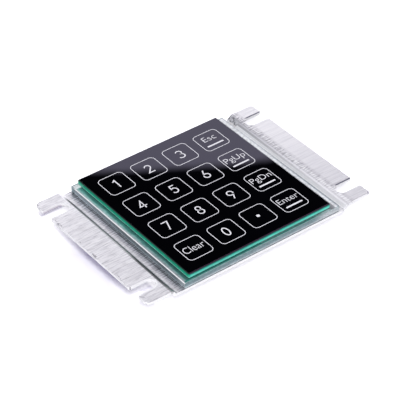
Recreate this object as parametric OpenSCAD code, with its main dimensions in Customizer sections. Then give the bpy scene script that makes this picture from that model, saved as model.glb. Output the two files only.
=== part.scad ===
// Capacitive touch keypad: a black printed cover glass over a clear sensor glass, taped into a
// sheet carrier whose two side flanges are joggled up and slotted for studs. The controller
// board hangs under the carrier. Millimetres, +Z up.
// The origin is the middle of the carrier in plan, at the level the lowest screw heads stand on.
// +X runs along a row of keys from left to right, +Y points to the row farthest from the user.

/* [Front glass] */
// Width of the cover glass along a row of keys
glass_width = 88.4; // [86:0.2:96]
// Depth of the cover glass, front to back
glass_depth = 92.4; // [88:0.2:100]
// Thickness of the cover glass
glass_thick = 2.95; // [2:0.05:5]
// Ground bevel along every edge of the cover glass
glass_arris = 0.5; // [0.2:0.05:0.8]
// Thickness of the black print on the face
print_thick = 0.06; // [0.03:0.01:0.12]

/* [Key marks] */
// Margin from the side edge of the cover glass to the nearest key outline
grid_margin_x = 6.7; // [5:0.1:8]
// Margin from the front or back edge of the cover glass to the nearest key outline
grid_margin_y = 7.05; // [5:0.05:9]
// Outside size of a square key outline
key_size = 15; // [12:0.1:16]
// Width of the outline
key_line = 0.35; // [0.25:0.05:1.4]
// Outside corner radius of the outline
key_corner = 2.5; // [1.6:0.1:4]
// Sideways shift of the printed grid from the middle of the glass
grid_shift_x = -0.4; // [-1:0.1:1]
// Shift of the printed grid towards the back
grid_shift_y = -0.3; // [-1:0.1:1]
// Length of the bar under a function word
bar_length = 10.2; // [6:0.1:11]
// Height of that bar
bar_height = 1; // [0.6:0.05:2]
// How far the bar sits in front of the middle of its key
bar_drop = 3.8; // [3:0.1:4.4]
// Size of the square decimal point
point_size = 1.7; // [1.2:0.1:3.5]
// Thickness of the white print
mark_thick = 0.04; // [0.02:0.01:0.1]

/* [Sensor glass] */
// How far the sensor glass shows beyond the cover glass at the left
ledge_left = 3.3; // [1:0.1:6]
// The wider ledge at the right, where the tail is bonded
ledge_right = 5.4; // [4.6:0.1:6.4]
// The narrow ledge at the front and at the back
ledge_depth = 1.2; // [0.5:0.1:3]
// Thickness of the sensor glass
sensor_thick = 3.4; // [2:0.1:5]
// Bevel along its edges
sensor_arris = 0.3; // [0.1:0.05:0.5]
// Clear bond between the two glasses
bond_thick = 0.2; // [0.1:0.05:0.5]

/* [Mounting tape] */
// Thickness of the tape frame
tape_thick = 0.2; // [0.15:0.05:0.6]
// Width of the tape frame
tape_width = 6; // [4:0.5:12]
// Margin from the edge of the cover glass in to the tape
tape_margin = 0.6; // [0.3:0.1:2]

/* [Carrier tray] */
// Thickness of the sheet
sheet_thick = 1.5; // [1:0.1:2]
// Floor left free beside the sensor glass before the sheet bends up
floor_margin = 4.5; // [4:0.1:8]
// How far the flanges stand above the floor
flange_rise = 2.5; // [2:0.1:5]
// Rise of the web for every 5 along its slope: 4 is steep, 3 is shallow
web_steepness = 4; // [3:1:4]
// Inside radius of both bends
bend_inner = 0.8; // [0.4:0.1:1.1]
// Width of the flat flange beyond the bend
flange_width = 14.1; // [13.7:0.1:20]
// Carrier beyond the sensor glass at the front and at the back
tray_margin = 0.1; // [0:0.05:1]

/* [Stud slots] */
// Width of a slot
slot_width = 6.6; // [4.2:0.1:8]
// Length of a slot from the outer edge to its round end
slot_length = 12.6; // [8:0.1:13]
// Middle of a slot in from the front or back edge
slot_inset = 11.1; // [9:0.1:20]
// Radius on the outer corners of the left flange
corner_left = 3; // [0.5:0.1:4]
// Radius on the outer corners of the right flange
corner_right = 1.5; // [0.5:0.1:4]
// Radius on the lips of each slot
lip_radius = 1; // [0.3:0.1:1.5]

/* [Sensor tail] */
// Width of the flexible tail
tail_width = 5; // [4:0.1:5.2]
// Thickness of the tail
tail_thick = 0.12; // [0.08:0.01:0.15]
// Inside radius of its bends
tail_bend = 1.2; // [0.8:0.05:1.3]
// Length of the tail bonded under the ledge
tail_bonded = 3.2; // [2:0.1:3.6]
// Length of the corner notch that lets the tail through
notch_length = 7.9; // [7.4:0.1:12]
// Gap around the tail and around the soft seal in the notch
tail_gap = 0.1; // [0.05:0.01:0.2]

/* [Board] */
// Width of the controller board
board_width = 84; // [76:1:88]
// Distance from the middle of the carrier to the front edge of the board
board_front = 33; // [32:0.5:38]
// Back edge of the board in from the back edge of the carrier
board_setback = 1; // [0.5:0.1:2]
// Thickness of the board
board_thick = 1.2; // [1:0.1:1.6]
// Corner radius of the board
board_corner = 2; // [0.5:0.1:4]
// Standoff height between the carrier and the board
standoff_height = 1.6; // [1.3:0.1:4]
// Screws in from the side edges and from the front edge of the board
screw_inset = 5; // [4:0.1:6]
// Thickness of the insulating film under the carrier
film_thick = 0.2; // [0.1:0.05:0.3]

/* [Fasteners] */
// Height of a screw head, on which the unit stands
head_height = 1.6; // [1.55:0.05:2.4]
// Diameter of a screw head
head_diameter = 4.5; // [4:0.1:6]
// Diameter of the screw shank
screw_diameter = 2; // [1.6:0.1:2.5]
// Length of the shank below the head
screw_length = 3.6; // [3:0.1:4]
// Diameter of the standoff collar
collar_diameter = 5.4; // [5:0.1:7]
// Diameter of the standoff shank pressed into the carrier
press_diameter = 4.2; // [3.8:0.1:4.6]
// Gap all round between the pressed shank and its hole
press_gap = 0.01; // [0.01:0.01:0.05]
// Gap all round between a screw and the thread it holds in
thread_gap = 0.03; // [0.02:0.01:0.1]
// Gap all round between a screw and its hole in the board
board_hole_gap = 0.3; // [0.2:0.05:0.5]

/* [Back socket] */
// Distance of the socket to the left of the middle
socket_offset = 14; // [0:1:24]
// Outside width of the metal shell
shell_width = 7.6; // [7:0.1:9]
// Outside height of the metal shell
shell_height = 2.5; // [2.3:0.1:2.6]
// Length of the shell
shell_length = 5.6; // [5:0.1:7]
// Thickness of its metal
shell_wall = 0.3; // [0.2:0.05:0.4]
// Number of contacts on the tongue
socket_ways = 5; // [4:1:6]

/* [Board parts] */
// Side of the touch controller body
chip_size = 10; // [8:0.5:12]
// Thickness of the touch controller body
chip_thick = 1; // [0.8:0.1:1.2]
// Leads on each side of the controller
leads_per_side = 12; // [8:1:14]
// Capacitors in each of the two rows beside the controller
capacitors_per_row = 5; // [3:1:6]
// Resistors in the row behind the tail connector
resistor_count = 8; // [4:1:8]
// Distance between neighbouring resistors
resistor_pitch = 1.9; // [1.6:0.1:2.5]
// Clear board between the tail connector and the middle of a resistor
resistor_space = 3.6; // [2:0.1:5]
// Distance between neighbouring capacitors
capacitor_pitch = 2.6; // [2.2:0.1:3]
// Clear board between the feet of the controller and the middle of a capacitor
capacitor_space = 1.8; // [1:0.1:3]
// Length of the crystal's base
crystal_length = 5; // [3.2:0.1:6]
// Width of the crystal's base
crystal_width = 3.2; // [2.5:0.1:4]
// Height of the crystal
crystal_height = 1; // [0.7:0.1:1.2]
// Clear board between the feet of the controller and the crystal
crystal_space = 4; // [2:0.1:8]
// Distance of the regulator to the right of the socket
regulator_side = 12; // [9:0.1:16]
// Distance of the regulator from the back edge of the board
regulator_back = 9; // [7:0.1:14]

/* [Hidden] */
$fn = 48;
// Overlap of a cutting shape past the face that it cuts
past = 1;
columns = 4;
rows = 4;

// Levels, from the screw heads up to the face
board_bottom = head_height;
board_top = board_bottom + board_thick;
floor_bottom = board_top + standoff_height;
floor_top = floor_bottom + sheet_thick;
flange_bottom = floor_bottom + flange_rise;
flange_top = floor_top + flange_rise;
sensor_bottom = floor_top + tape_thick;
sensor_top = sensor_bottom + sensor_thick;
glass_bottom = sensor_top + bond_thick;
glass_top = glass_bottom + glass_thick;
face_top = glass_top + print_thick;

// Plan, from the glass outwards
half_glass_x = glass_width / 2;
half_glass_y = glass_depth / 2;
key_pitch_x = (glass_width - 2 * grid_margin_x - key_size) / (columns - 1);
key_pitch_y = (glass_depth - 2 * grid_margin_y - key_size) / (rows - 1);
sensor_left = half_glass_x + ledge_left;
sensor_right = half_glass_x + ledge_right;
sensor_half_y = half_glass_y + ledge_depth;
tray_half_y = sensor_half_y + tray_margin;
floor_half = sensor_left + floor_margin;
// The bends are measured on the middle of the sheet: the two bends lift the sheet by a fixed
// amount at the web's angle, and the straight web makes up the rest of the rise
bend_middle = bend_inner + sheet_thick / 2;
web_sine = web_steepness / 5;
web_cosine = sqrt(1 - web_sine * web_sine);
web_angle = asin(web_sine);
web_length = (flange_rise - 2 * bend_middle * (1 - web_cosine)) / web_sine;
flange_start = floor_half + 2 * bend_middle * web_sine + web_length * web_cosine;
tray_half_x = flange_start + flange_width;
run_reach = sheet_thick / 5;
slot_y = tray_half_y - slot_inset;
slot_x = tray_half_x - slot_length + slot_width / 2;

// Tail: bonded under the right ledge, down through the notch, back to the board
notch_y = tray_half_y - notch_length;
tail_y = notch_y + 0.4 + tail_width / 2;
tail_drop_x = sensor_right + 1.6;
notch_start = tail_drop_x - 0.3;
tail_outer_x = tail_drop_x + tail_bend + tail_thick;
tail_low = board_bottom - 0.56;
connector_depth = 4.2;
connector_height = 1.1;
connector_width = tail_width + 2.2;
connector_x = board_width / 2 - 1.4 - connector_depth / 2;

board_back = tray_half_y - board_setback;
screw_x = board_width / 2 - screw_inset;
screw_y = board_front - screw_inset;
screw_hole = screw_diameter / 2 + board_hole_gap;
socket_x = -socket_offset;
socket_mouth = tray_half_y - 0.1;
socket_notch = shell_length - board_setback + 0.3;
board_middle = (board_bottom + board_top) / 2;

// A square with round corners, centred
module rounded(w, h, r) {
    square([w - 2 * r, h], center = true);
    square([w, h - 2 * r], center = true);
    for (x = [-1, 1], y = [-1, 1])
        translate([x * (w / 2 - r), y * (h / 2 - r)]) circle(r = r);
}

// What a round corner takes off a square one, for the corner at the origin that points to +X +Y
module corner_waste(r) {
    translate([-r, -r]) difference() {
        square(r + past);
        circle(r = r);
    }
}

// A ring sector between two angles under 180 degrees apart
module sector(r_in, r_out, from, to) {
    far = 3 * r_out;
    intersection() {
        difference() {
            circle(r = r_out);
            circle(r = r_in);
        }
        polygon([[0, 0], far * [cos(from), sin(from)],
                 far * [cos((from + to) / 2), sin((from + to) / 2)], far * [cos(to), sin(to)]]);
    }
}

// A rectangle with cut corners, from one corner point to the other
module cut_rectangle(a, b, c) {
    polygon([[a[0] + c, a[1]], [b[0] - c, a[1]], [b[0], a[1] + c], [b[0], b[1] - c],
             [b[0] - c, b[1]], [a[0] + c, b[1]], [a[0], b[1] - c], [a[0], a[1] + c]]);
}

// A glass plate with a ground bevel on all twelve edges
module bevelled_plate(x0, x1, half_y, z0, z1, bevel) {
    intersection() {
        rotate([90, 0, 0]) linear_extrude(2 * half_y, center = true)
            cut_rectangle([x0, z0], [x1, z1], bevel);
        translate([x0, 0, 0]) rotate([90, 0, 90]) linear_extrude(x1 - x0)
            cut_rectangle([-half_y, z0], [half_y, z1], bevel);
        translate([0, 0, z0]) linear_extrude(z1 - z0)
            cut_rectangle([x0, -half_y], [x1, half_y], bevel);
    }
}

// Places a child at the middle of one printed key
module at_key(column, row, z) {
    translate([grid_shift_x + (column - (columns - 1) / 2) * key_pitch_x,
               grid_shift_y + ((rows - 1) / 2 - row) * key_pitch_y, z]) children();
}

// Places a child on the underside of the board, built upwards and turned over
module on_board(x, y) {
    translate([x, y, board_bottom]) mirror([0, 0, 1]) children();
}

module at_screws() {
    for (x = [-1, 1], y = [-1, 1])
        translate([x * screw_x, y * screw_y, 0]) children();
}

module front_glass() {
    color([0.42, 0.68, 0.60, 0.6])
        bevelled_plate(-half_glass_x, half_glass_x, half_glass_y, glass_bottom, glass_top,
                       glass_arris);
}

module black_print() {
    color([0.02, 0.02, 0.03]) translate([0, 0, glass_top]) linear_extrude(print_thick)
        cut_rectangle([glass_arris - half_glass_x, glass_arris - half_glass_y],
                      [half_glass_x - glass_arris, half_glass_y - glass_arris], 0.15);
}

module key_outlines() {
    color([0.93, 0.94, 0.96]) for (column = [0 : columns - 1], row = [0 : rows - 1])
        at_key(column, row, face_top) linear_extrude(mark_thick) difference() {
            rounded(key_size, key_size, key_corner);
            rounded(key_size - 2 * key_line, key_size - 2 * key_line, key_corner - key_line);
        }
}

// The bars mark the last key of every row
module function_bars() {
    color([0.93, 0.94, 0.96]) for (row = [0 : rows - 1])
        at_key(columns - 1, row, face_top) translate([0, -bar_drop, 0])
            linear_extrude(mark_thick) rounded(bar_length, bar_height, bar_height / 3);
}

module point_mark() {
    color([0.93, 0.94, 0.96]) at_key(2, rows - 1, face_top)
        linear_extrude(mark_thick) rounded(point_size, point_size, point_size / 6);
}

module optical_bond() {
    inset = glass_arris + 0.1;
    color([0.86, 0.90, 0.90, 0.5]) translate([0, 0, sensor_top]) linear_extrude(bond_thick)
        square([glass_width - 2 * inset, glass_depth - 2 * inset], center = true);
}

module sensor_glass() {
    color([0.62, 0.76, 0.80, 0.5])
        bevelled_plate(-sensor_left, sensor_right, sensor_half_y, sensor_bottom, sensor_top,
                       sensor_arris);
}

module mounting_tape() {
    w = glass_width - 2 * tape_margin;
    h = glass_depth - 2 * tape_margin;
    color([0.12, 0.12, 0.13]) translate([0, 0, floor_top]) linear_extrude(tape_thick)
        difference() {
            square([w, h], center = true);
            square([w - 2 * tape_width, h - 2 * tape_width], center = true);
        }
}

// A straight run of sheet in section. Its pointed ends reach into the bends that it meets.
module straight_run(length, start, end) {
    polygon([[0, 0], [length, 0], [length + end, sheet_thick / 2], [length, sheet_thick],
             [0, sheet_thick], [-start, sheet_thick / 2]]);
}

// One flank of the carrier in section: bend up, straight web, bend back, flat flange
module flank_section() {
    lower = [floor_half, floor_bottom + sheet_thick / 2 + bend_middle];
    upper = [flange_start, flange_bottom + sheet_thick / 2 - bend_middle];
    translate(lower) sector(bend_inner, bend_inner + sheet_thick, -90, web_angle - 90);
    translate(lower) rotate(web_angle) translate([0, -bend_inner - sheet_thick])
        straight_run(web_length, run_reach, run_reach);
    translate(upper) sector(bend_inner, bend_inner + sheet_thick, 90, 90 + web_angle);
    translate([upper[0], upper[1] + bend_inner]) straight_run(flange_width, run_reach, 0);
}

// What is cut from one flange in plan: two open slots with eased lips, two round corners
module flange_cuts(corner) {
    for (side = [-1, 1]) translate([0, side * slot_y]) {
        translate([slot_x, 0]) circle(d = slot_width);
        translate([slot_x, -slot_width / 2]) square([slot_length + past, slot_width]);
        translate([tray_half_x, slot_width / 2]) rotate(-90) corner_waste(lip_radius);
        translate([tray_half_x, -slot_width / 2]) corner_waste(lip_radius);
    }
    translate([tray_half_x, tray_half_y]) corner_waste(corner);
    translate([tray_half_x, -tray_half_y]) rotate(-90) corner_waste(corner);
}

module carrier_tray() {
    color([0.80, 0.80, 0.83]) difference() {
        rotate([90, 0, 0]) linear_extrude(2 * tray_half_y, center = true) {
            translate([-floor_half, floor_bottom])
                straight_run(2 * floor_half, run_reach, run_reach);
            flank_section();
            mirror([1, 0]) flank_section();
        }
        translate([0, 0, floor_bottom - past])
            linear_extrude(flange_rise + sheet_thick + 2 * past) {
            flange_cuts(corner_right);
            mirror([1, 0]) flange_cuts(corner_left);
            translate([notch_start, notch_y])
                square([flange_start - notch_start, notch_length + past]);
        }
        at_screws() translate([0, 0, floor_bottom - past])
            cylinder(d = press_diameter + 2 * press_gap, h = sheet_thick + 2 * past);
    }
}

// Soft block that closes the notch beside the tail, sloping with the web
module tail_seal() {
    inner = tail_outer_x + tail_gap;
    outer = flange_start - tail_gap;
    end = notch_length - 2 * tail_gap;
    color([0.42, 0.42, 0.46]) translate([0, notch_y + tail_gap + end, 0]) rotate([90, 0, 0])
        linear_extrude(end)
        polygon([[inner, floor_bottom], [(inner + outer) / 2, floor_bottom],
                 [outer, flange_bottom], [outer, flange_top - 0.1], [inner, floor_top + 0.1]]);
}

module sensor_tail() {
    high = sensor_bottom - tail_thick;
    start = sensor_right - tail_bonded;
    end = connector_x + 0.6;
    color([0.30, 0.19, 0.08]) translate([0, tail_y + tail_width / 2, 0]) rotate([90, 0, 0])
        linear_extrude(tail_width) {
        translate([start, high]) square([tail_drop_x - start, tail_thick]);
        translate([tail_drop_x, high - tail_bend])
            sector(tail_bend, tail_bend + tail_thick, 0, 90);
        translate([tail_drop_x + tail_bend, tail_low + tail_thick + tail_bend])
            square([tail_thick, high - tail_low - 2 * tail_bend - tail_thick]);
        translate([tail_drop_x, tail_low + tail_thick + tail_bend])
            sector(tail_bend, tail_bend + tail_thick, -90, 0);
        translate([end, tail_low]) square([tail_drop_x - end, tail_thick]);
    }
}

module insulator_film() {
    edge = 1;
    color([0.78, 0.52, 0.12]) translate([0, 0, floor_bottom - film_thick])
        linear_extrude(film_thick) difference() {
            translate([0, (board_back - board_front) / 2])
                square([board_width + 2 * edge, board_back + board_front], center = true);
            at_screws() circle(d = collar_diameter + 0.4);
        }
}

module standoffs() {
    color([0.74, 0.72, 0.66]) at_screws() difference() {
        union() {
            translate([0, 0, board_top]) cylinder(d = collar_diameter, h = standoff_height);
            translate([0, 0, board_top])
                cylinder(d = press_diameter, h = standoff_height + sheet_thick);
        }
        translate([0, 0, board_top - past])
            cylinder(r = screw_diameter / 2 + thread_gap,
                     h = standoff_height + sheet_thick + 2 * past);
    }
}

module controller_board() {
    w = board_width;
    h = board_back + board_front;
    color([0.05, 0.25, 0.14]) translate([0, 0, board_bottom]) linear_extrude(board_thick)
        difference() {
            translate([0, (board_back - board_front) / 2]) rounded(w, h, board_corner);
            at_screws() circle(r = screw_hole);
            translate([socket_x - shell_width / 2 - 0.2, board_back - socket_notch])
                square([shell_width + 0.4, socket_notch + past]);
        }
}

// Pan heads point down and carry the unit on a table
module board_screws() {
    ease = 0.4;
    slot = head_diameter / 7;
    color([0.70, 0.71, 0.73]) at_screws() difference() {
        union() {
            cylinder(d1 = head_diameter - 2 * ease, d2 = head_diameter, h = ease);
            translate([0, 0, ease]) cylinder(d = head_diameter, h = head_height - ease);
            translate([0, 0, head_height - 0.1]) cylinder(d = screw_diameter, h = screw_length + 0.1);
        }
        for (turn = [0, 90]) rotate(turn)
            translate([-head_diameter * 0.3, -slot / 2, -past])
            cube([head_diameter * 0.6, slot, past + head_height * 0.55]);
    }
}

// The controller sits near the middle of the board, its row parts around it
controller_x = 10;
controller_y = 2;
chip_lift = 0.1;
lead_pitch = 0.65;
lead_width = 0.26;
lead_thick = 0.15;
lead_reach = 1;

module touch_controller() {
    color([0.07, 0.07, 0.08]) on_board(controller_x, controller_y) difference() {
        translate([0, 0, chip_lift]) linear_extrude(chip_thick)
            cut_rectangle([-chip_size / 2, -chip_size / 2], [chip_size / 2, chip_size / 2], 0.3);
        translate([-chip_size * 0.38, chip_size * 0.38, chip_lift + chip_thick - 0.1])
            cylinder(d = 1, h = past);
    }
}

// One bent lead in section: out of the body, down, and a flat foot on the board
module lead_section(reach, height, body) {
    mid = reach * 0.45;
    polygon([[-body, height], [mid, height], [mid + 0.12, lead_thick], [reach, lead_thick],
             [reach, 0], [mid, 0], [mid - 0.14, height - lead_thick],
             [-body, height - lead_thick]]);
}

module controller_leads() {
    span = (leads_per_side - 1) * lead_pitch;
    color([0.75, 0.75, 0.77]) on_board(controller_x, controller_y) for (side = [0 : 3])
        rotate(side * 90) for (i = [0 : leads_per_side - 1])
            translate([chip_size / 2, i * lead_pitch - span / 2 + lead_width / 2, 0])
            rotate([90, 0, 0]) linear_extrude(lead_width)
            lead_section(lead_reach, chip_lift + chip_thick / 2, 0);
}

// Five-pin regulator behind the socket
regulator_x = socket_x + regulator_side;
regulator_y = board_back - regulator_back;
regulator_size = [1.6, 2.9];
regulator_thick = 1;

module regulator() {
    color([0.08, 0.08, 0.09]) on_board(regulator_x, regulator_y)
        translate([-regulator_size[0] / 2, -regulator_size[1] / 2, chip_lift])
        cube([regulator_size[0], regulator_size[1], regulator_thick]);
}

module regulator_leads() {
    reach = 0.6;
    pitch = 0.95;
    color([0.75, 0.75, 0.77]) on_board(regulator_x, regulator_y) for (side = [0, 1], i = [-1, 0, 1])
        if (side == 0 || i != 0)
            rotate(side * 180) translate([regulator_size[0] / 2, i * pitch + 0.2, 0])
            rotate([90, 0, 0]) linear_extrude(0.4)
            lead_section(reach, chip_lift + regulator_thick / 2, 0);
}

// Base plate and a slightly smaller lid
module crystal() {
    step = 0.6;
    half = crystal_height / 2;
    crystal_x = controller_x - chip_size / 2 - lead_reach - crystal_space - crystal_length / 2;
    color([0.78, 0.79, 0.80]) on_board(crystal_x, controller_y) {
        linear_extrude(half) rounded(crystal_length, crystal_width, 0.3);
        translate([0, 0, half]) linear_extrude(half)
            rounded(crystal_length - step, crystal_width - step, 0.4);
    }
}

// Two-ended chip parts: the body between, a metal cap over each end
chip_body = [1.1, 0.8, 0.6];
cap_reach = 0.3;

module capacitor_places() {
    for (side = [-1, 1], i = [0 : capacitors_per_row - 1])
        on_board(controller_x + (i - (capacitors_per_row - 1) / 2) * capacitor_pitch,
                 controller_y + side * (chip_size / 2 + lead_reach + capacitor_space))
            children();
}

module resistor_places() {
    for (i = [0 : resistor_count - 1])
        on_board(connector_x - connector_depth / 2 - resistor_space,
                 tail_y - i * resistor_pitch) children();
}

module chip_middle(size) {
    translate([-size[0] / 2, -size[1] / 2, 0]) cube(size);
}

module chip_ends(size) {
    for (side = [-1, 1])
        translate([side * (size[0] + cap_reach) / 2 - cap_reach / 2, -size[1] / 2, 0])
        cube([cap_reach, size[1], size[2]]);
}

module chip_capacitors() {
    color([0.62, 0.50, 0.34]) capacitor_places() chip_middle(chip_body);
}

module chip_resistors() {
    color([0.10, 0.10, 0.11]) resistor_places() chip_middle(chip_body);
}

module chip_terminals() {
    color([0.78, 0.78, 0.78]) {
        capacitor_places() chip_ends(chip_body);
        resistor_places() chip_ends(chip_body);
    }
}

// Housing with a flat mouth to the right for the tail, and a step for the latch
latch_depth = 1.1;
mouth_height = tail_thick + 0.16;
mouth_level = board_bottom - tail_low - tail_thick / 2;

module tail_connector() {
    d = connector_depth;
    color([0.86, 0.83, 0.74]) on_board(connector_x, tail_y) difference() {
        translate([-d / 2, -connector_width / 2, 0]) cube([d, connector_width, connector_height]);
        translate([0.4, -tail_width / 2 - 0.1, mouth_level - mouth_height / 2])
            cube([d, tail_width + 0.2, mouth_height]);
        translate([d / 2 - latch_depth - 0.1, -tail_width / 2 - 0.6,
                   mouth_level + mouth_height / 2 + 0.1])
            cube([d, tail_width + 1.2, connector_height]);
    }
}

module tail_latch() {
    low = mouth_level + mouth_height / 2 + 0.14;
    color([0.10, 0.10, 0.11]) on_board(connector_x, tail_y)
        translate([connector_depth / 2 - latch_depth, -tail_width / 2 - 0.5, low])
        cube([latch_depth, tail_width + 1, connector_height - low]);
}

module tail_contacts() {
    ways = 10;
    pitch = tail_width / (ways + 1);
    color([0.80, 0.76, 0.62]) on_board(connector_x - connector_depth / 2, tail_y)
        for (i = [0 : ways - 1])
            translate([-0.9, (i - (ways - 1) / 2) * pitch - 0.13, 0]) cube([0.9, 0.26, 0.16]);
}

// Frame of the socket: +Y out of the mouth, origin in the middle of the mouth
module at_socket() {
    translate([socket_x, socket_mouth, board_middle]) children();
}

shell_round = 0.6;
inside_width = shell_width - 2 * shell_wall;
inside_height = shell_height - 2 * shell_wall;
tongue_width = inside_width - 1.6;
tongue_thick = 0.6;
base_depth = 1.3;

module socket_shell() {
    wing = 1.1;
    color([0.80, 0.80, 0.82]) {
        at_socket() difference() {
            rotate([90, 0, 0]) linear_extrude(shell_length)
                rounded(shell_width, shell_height, shell_round);
            translate([0, past, 0]) rotate([90, 0, 0]) linear_extrude(shell_length + 2 * past)
                rounded(inside_width, inside_height, shell_round - shell_wall + 0.05);
        }
        for (side = [-1, 1], back = [1.8, shell_length - 1.2])
            translate([socket_x + side * (shell_width / 2 + wing / 2 - 0.15),
                       socket_mouth - back, board_bottom - shell_wall / 2])
            cube([wing, 1.2, shell_wall], center = true);
    }
}

module socket_tongue() {
    gap = 0.02;
    color([0.09, 0.09, 0.10]) at_socket() {
        translate([-inside_width / 2 + gap, -shell_length, gap - inside_height / 2])
            cut_block([inside_width - 2 * gap, base_depth, inside_height - 2 * gap]);
        translate([-tongue_width / 2, -shell_length + base_depth / 2, -tongue_thick / 2])
            cube([tongue_width, shell_length - base_depth / 2 - 0.8, tongue_thick]);
    }
}

// A block with its long edges cut back to clear the shell's corners
module cut_block(size) {
    translate([0, size[1], 0]) rotate([90, 0, 0]) linear_extrude(size[1])
        cut_rectangle([0, 0], [size[0], size[2]], 0.3);
}

module socket_contacts() {
    pitch = tongue_width / socket_ways;
    rest = 0.08;
    color([0.85, 0.68, 0.30]) for (i = [0 : socket_ways - 1])
        translate([socket_x + (i - (socket_ways - 1) / 2) * pitch - 0.15, 0, 0]) {
            translate([0, socket_mouth - shell_length + base_depth, board_middle + tongue_thick / 2])
                cube([0.3, shell_length - base_depth - 1.2, rest]);
            translate([0, board_back - socket_notch - 1, board_bottom - 0.15])
                cube([0.3, socket_mouth - shell_length - board_back + socket_notch + 0.98, 0.15]);
        }
}

front_glass();
black_print();
key_outlines();
function_bars();
point_mark();
optical_bond();
sensor_glass();
mounting_tape();
carrier_tray();
tail_seal();
sensor_tail();
insulator_film();
standoffs();
controller_board();
board_screws();
touch_controller();
controller_leads();
regulator();
regulator_leads();
crystal();
chip_capacitors();
chip_resistors();
chip_terminals();
tail_connector();
tail_latch();
tail_contacts();
socket_shell();
socket_tongue();
socket_contacts();
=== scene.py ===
# %% [markdown]
# # A glass touch keypad on a brushed carrier
# This lesson dresses a finished CAD model: a black glass keypad with sixteen keys, bonded to a
# clear sensor glass, taped into a bent metal carrier, with its controller board underneath.
# The CAD model fixes every size. Here we only add finishes, printed signs, light and a camera.
# We load the model first and keep the boxes of a few pieces.

# %% Load the model
import math
import bpy
from mathutils import Matrix, Vector


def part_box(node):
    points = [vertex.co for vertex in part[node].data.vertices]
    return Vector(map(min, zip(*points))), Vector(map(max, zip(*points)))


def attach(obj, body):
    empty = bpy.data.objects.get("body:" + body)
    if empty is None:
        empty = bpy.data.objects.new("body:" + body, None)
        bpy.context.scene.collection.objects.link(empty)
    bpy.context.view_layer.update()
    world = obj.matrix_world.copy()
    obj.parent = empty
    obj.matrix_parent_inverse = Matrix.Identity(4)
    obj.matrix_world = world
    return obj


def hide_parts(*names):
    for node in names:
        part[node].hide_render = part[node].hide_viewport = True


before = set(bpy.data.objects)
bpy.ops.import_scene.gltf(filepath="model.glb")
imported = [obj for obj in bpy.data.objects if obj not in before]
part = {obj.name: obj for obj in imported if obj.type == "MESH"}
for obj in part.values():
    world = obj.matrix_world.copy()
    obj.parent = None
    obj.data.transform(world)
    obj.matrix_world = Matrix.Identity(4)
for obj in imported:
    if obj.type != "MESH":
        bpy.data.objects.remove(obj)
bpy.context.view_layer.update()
MM = 0.001
glass_low, glass_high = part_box("front_glass")
sensor_low, sensor_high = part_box("sensor_glass")
tray_low, tray_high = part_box("carrier_tray")
face_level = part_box("black_print")[1].z
print("pieces in the model:", len(part), "face level in mm:", round(face_level / MM, 2))

# %% [markdown]
# ## The camera
# A product picture of a flat thing is usually taken with a long lens from above one corner.
# Such a lens keeps the key rows almost parallel. The camera stands in front of the left corner,
# 38 degrees up. We build its turn from three directions: right, up, and back towards the lens.

# %% Camera
azimuth, elevation = math.radians(-37.629), math.radians(38.365)
stand = Vector((-447.4, -577.98, 573.04)) * MM + Vector((0, 0, face_level))
back = Vector((math.sin(azimuth) * math.cos(elevation),
               -math.cos(azimuth) * math.cos(elevation), math.sin(elevation)))
right = Vector((0, 0, 1)).cross(back).normalized()
up = back.cross(right)


def into_scene(thing):
    bpy.context.scene.collection.objects.link(thing)


lens = bpy.data.cameras.new("long_lens")
lens.sensor_width = 36
lens.lens = 167.33
lens.clip_start = 0.01
lens.clip_end = 20
camera = bpy.data.objects.new("camera", lens)
turn = Matrix((right, up, back)).transposed()
camera.matrix_world = Matrix.Translation(stand) @ turn.to_4x4()
into_scene(camera)
bpy.context.scene.camera = camera
bpy.context.scene.view_settings.view_transform = "Standard"
print("camera stands", round(stand.length, 3), "m away")

# %% [markdown]
# ## Helpers for materials
# Every finish is a small graph of shader nodes. Short helpers keep the graphs readable. The
# first ones start a material, put it on pieces of the model, add a node with its settings and
# join two sockets. Adding works on the world as well, because it has a node tree too.

# %% Materials and nodes
def finish(name, **sockets):
    """A new material and its Principled shader, with plain values on the shader's own sockets."""
    material = bpy.data.materials.new(name)
    material.use_nodes = True
    shader = material.node_tree.nodes["Principled BSDF"]
    for socket, value in sockets.items():
        shader.inputs[socket.replace("_", " ")].default_value = value
    return material, shader


def dress(material, *names):
    for name in names:
        slots = part[name].data.materials
        slots.clear()
        slots.append(material)
    print(material.name, "on", ", ".join(names))


def add(owner, kind, inputs=None, **settings):
    """A new node; each of its inputs is given a plain value or another node's output."""
    node = owner.node_tree.nodes.new(kind)
    for key, value in settings.items():
        setattr(node, key, value)
    for key, value in (inputs or {}).items():
        if isinstance(value, bpy.types.NodeSocket):
            owner.node_tree.links.new(value, node.inputs[key])
        else:
            node.inputs[key].default_value = value
    return node


def join(owner, source, target):
    owner.node_tree.links.new(source, target)


# %% [markdown]
# ## Helpers for sums
# Where a finish changes from place to place, the graph has to reckon: it turns a distance into a
# factor between 0 and 1, and takes the product or the highest of such factors. One node does one
# sum, so these helpers chain them.

# %% Sums with nodes
def maths(owner, operation, *values):
    return add(owner, "ShaderNodeMath", dict(enumerate(values)), operation=operation).outputs[0]


def chain(owner, operation, values):
    """One sum after another over all the values."""
    result = values[0]
    for value in values[1:]:
        result = maths(owner, operation, result, value)
    return result


def times(owner, *values):
    return chain(owner, "MULTIPLY", values)


def highest(owner, *values):
    return chain(owner, "MAXIMUM", values)


def between(owner, factor, first, second):
    """The first value where the factor is 0 and the second where it is 1."""
    return add(owner, "ShaderNodeMix", {0: factor, 2: first, 3: second}).outputs[0]


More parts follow.
